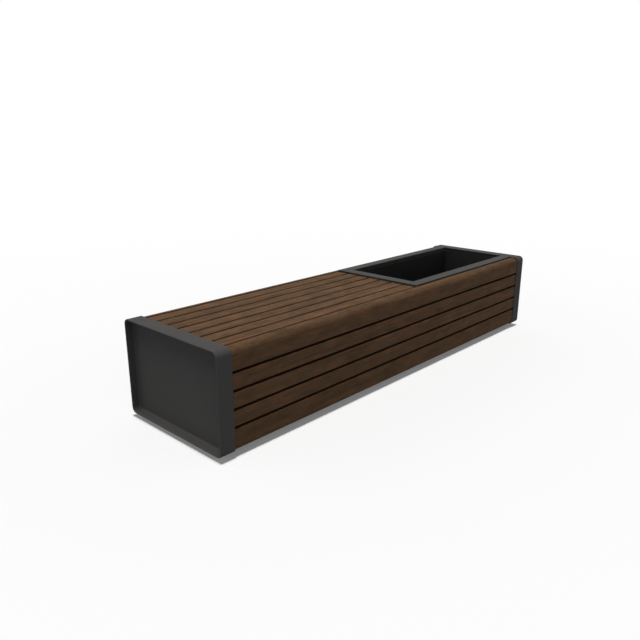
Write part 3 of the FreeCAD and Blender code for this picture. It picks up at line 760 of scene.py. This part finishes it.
def make_world(look):
    """A band of light near the horizon, which looks plain white where it is seen directly."""
    world = bpy.data.worlds.new("studio")
    bpy.context.scene.world = world
    finish = Finish(world)
    height = finish.parts(finish.node("ShaderNodeTexCoord", output="Generated"))[2]
    top = math.sin(look.band)
    around = (1 - finish.ramp(height, top * 0.7, top * 1.3)) * look.surround
    glow = finish.node("ShaderNodeMix", {"data_type": "FLOAT"}, {
        "Factor_Float": seen_directly(finish), "A_Float": around, "B_Float": 1.0}, "Result")
    light = finish.node("ShaderNodeBackground", inputs={"Color": (1, 1, 1), "Strength": glow})
    finish.node("ShaderNodeOutputWorld", inputs={"Surface": light})


def make_camera(look):
    """The photograph's view of the bench."""
    lens = bpy.data.cameras.new("camera")
    lens.lens = look.lens
    lens.sensor_width = 36
    camera = bpy.data.objects.new("camera", lens)
    camera.location = look.eye
    camera.rotation_euler = look.aim
    bpy.context.scene.collection.objects.link(camera)
    bpy.context.scene.camera = camera


# Operators


class BENCH_OT_timber(bpy.types.Operator):
    """Make the timber slats of the seat and the two sides"""
    bl_idname = "bench.timber"
    bl_label = "Timber slats"

    def execute(self, context):
        look = context.scene.bench_timber
        material = timber_material(look)
        seat, side = look.seat_arris, look.side_arris
        make_slat("corner_slat_front", FRONT, (side, seat, look.corner_round, side), look, 1,
                  material)
        make_slat("corner_slat_back", BACK, (seat, side, side, look.corner_round), look, 2,
                  material)
        for seed, node in enumerate(numbered("top_slat", 7), start=3):
            make_slat(node, TOP, (seat, seat, seat, seat), look, seed, material)
        for face, name, first_seed in ((FRONT, "front_slat", 11), (BACK, "back_slat", 21)):
            for index, node in enumerate(numbered(name, 4)):
                low_edge = side if index else look.skirt_round
                outer = (side, low_edge) if face == FRONT else (low_edge, side)
                make_slat(node, face, (side, side, *outer), look, first_seed + index, material)
        return {"FINISHED"}


class BENCH_OT_end_plates(bpy.types.Operator):
    """Coat the two end plates"""
    bl_idname = "bench.end_plates"
    bl_label = "End plates"

    def execute(self, context):
        look = context.scene.bench_coat
        paint(["end_plate_left", "end_plate_right"], coat_material("plate_coat", look.grey, look))
        return {"FINISHED"}


class BENCH_OT_planter(bpy.types.Operator):
    """Coat the planter's rim, and finish its liner and the pads under it"""
    bl_idname = "bench.planter"
    bl_label = "Planter"

    def execute(self, context):
        coat, look = context.scene.bench_coat, context.scene.bench_liner
        # The rim's upright and downward faces get painted shade
        paint(["planter_rim"], coat_material("rim_coat", coat.grey, coat, coat.rim_flank_shade))
        # The angle under the right plate takes the black inner coat in place of the rim's grey:
        # painted shade for the shade it lies in
        paint(["rim_end_angle"], coat_material("angle_coat_painted_shade", coat.black, coat))
        # The liner gets painted shade on its upward faces
        paint(["planter_liner"],
              moulded_material("liner_plastic", look.black, look.roughness, look, look.upward_shade))
        paint(["liner_pads"],
              moulded_material("pad_rubber", look.rubber, look.rubber_roughness, look))
        return {"FINISHED"}


class BENCH_OT_steelwork(bpy.types.Operator):
    """Coat the frames and the beams inside the bench"""
    bl_idname = "bench.steelwork"
    bl_label = "Frames and beams"

    def execute(self, context):
        look = context.scene.bench_coat
        names = numbered("seat_frame", 4) + numbered("planter_frame", 3)
        names += ["base_beam_front", "base_beam_back"]
        paint(names, coat_material("inner_coat", look.black, look))
        return {"FINISHED"}


class BENCH_OT_fasteners(bpy.types.Operator):
    """Plate the screws, bolts, studs and nuts"""
    bl_idname = "bench.fasteners"
    bl_label = "Fasteners"

    def execute(self, context):
        paint(["seat_screws", "front_screws", "back_screws", "beam_bolts", "beam_nuts",
               "foot_nuts", "left_plate_nuts", "right_plate_nuts", "rim_studs", "rim_nuts"],
              zinc_material(context.scene.bench_steel))
        return {"FINISHED"}


class BENCH_OT_feet(bpy.types.Operator):
    """Make the feet's threaded studs, and finish their pads"""
    bl_idname = "bench.feet"
    bl_label = "Feet"

    def execute(self, context):
        steel, look = context.scene.bench_steel, context.scene.bench_liner
        paint(numbered("foot_pad", 6),
              moulded_material("foot_plastic", look.foot, look.foot_roughness, look))
        material = zinc_material(steel)
        for number in range(1, 7):
            make_stud(number, steel, material)
        return {"FINISHED"}


class BENCH_OT_stage(bpy.types.Operator):
    """Set up the floor, the flag, the lights and the camera"""
    bl_idname = "bench.stage"
    bl_label = "Studio"

    def execute(self, context):
        look = context.scene.bench_studio
        make_lamps(look, make_floor(look))
        make_world(look)
        make_flag(look)
        make_camera(look)
        context.scene.view_settings.view_transform = "Standard"
        return {"FINISHED"}


class BENCH_PT_parts(bpy.types.Panel):
    """Buttons for the bench's pieces"""
    bl_idname = "BENCH_PT_parts"
    bl_label = "Bench with planter"
    bl_space_type = "VIEW_3D"
    bl_region_type = "UI"
    bl_category = "Bench"

    def draw(self, context):
        for operator in OPERATORS:
            self.layout.operator(operator.bl_idname)


LOOKS = {"bench_timber": BenchTimberLook, "bench_coat": BenchCoatLook,
         "bench_liner": BenchLinerLook, "bench_steel": BenchSteelLook,
         "bench_studio": BenchStudioLook}
OPERATORS = (BENCH_OT_timber, BENCH_OT_end_plates, BENCH_OT_planter, BENCH_OT_steelwork,
             BENCH_OT_fasteners, BENCH_OT_feet, BENCH_OT_stage)
CLASSES = (*LOOKS.values(), *OPERATORS, BENCH_PT_parts)


def register():
    """Register the classes and give the scene its looks."""
    for item in CLASSES:
        bpy.utils.register_class(item)
    for name, group in LOOKS.items():
        setattr(bpy.types.Scene, name, bpy.props.PointerProperty(type=group))


def unregister():
    """Take the looks and the classes away again."""
    for name in LOOKS:
        delattr(bpy.types.Scene, name)
    for item in reversed(CLASSES):
        bpy.utils.unregister_class(item)


def main():
    """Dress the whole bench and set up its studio."""
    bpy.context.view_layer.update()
    register()
    for operator in OPERATORS:
        group, name = operator.bl_idname.split(".")
        getattr(getattr(bpy.ops, group), name)()


if __name__ == "__main__":
    main()
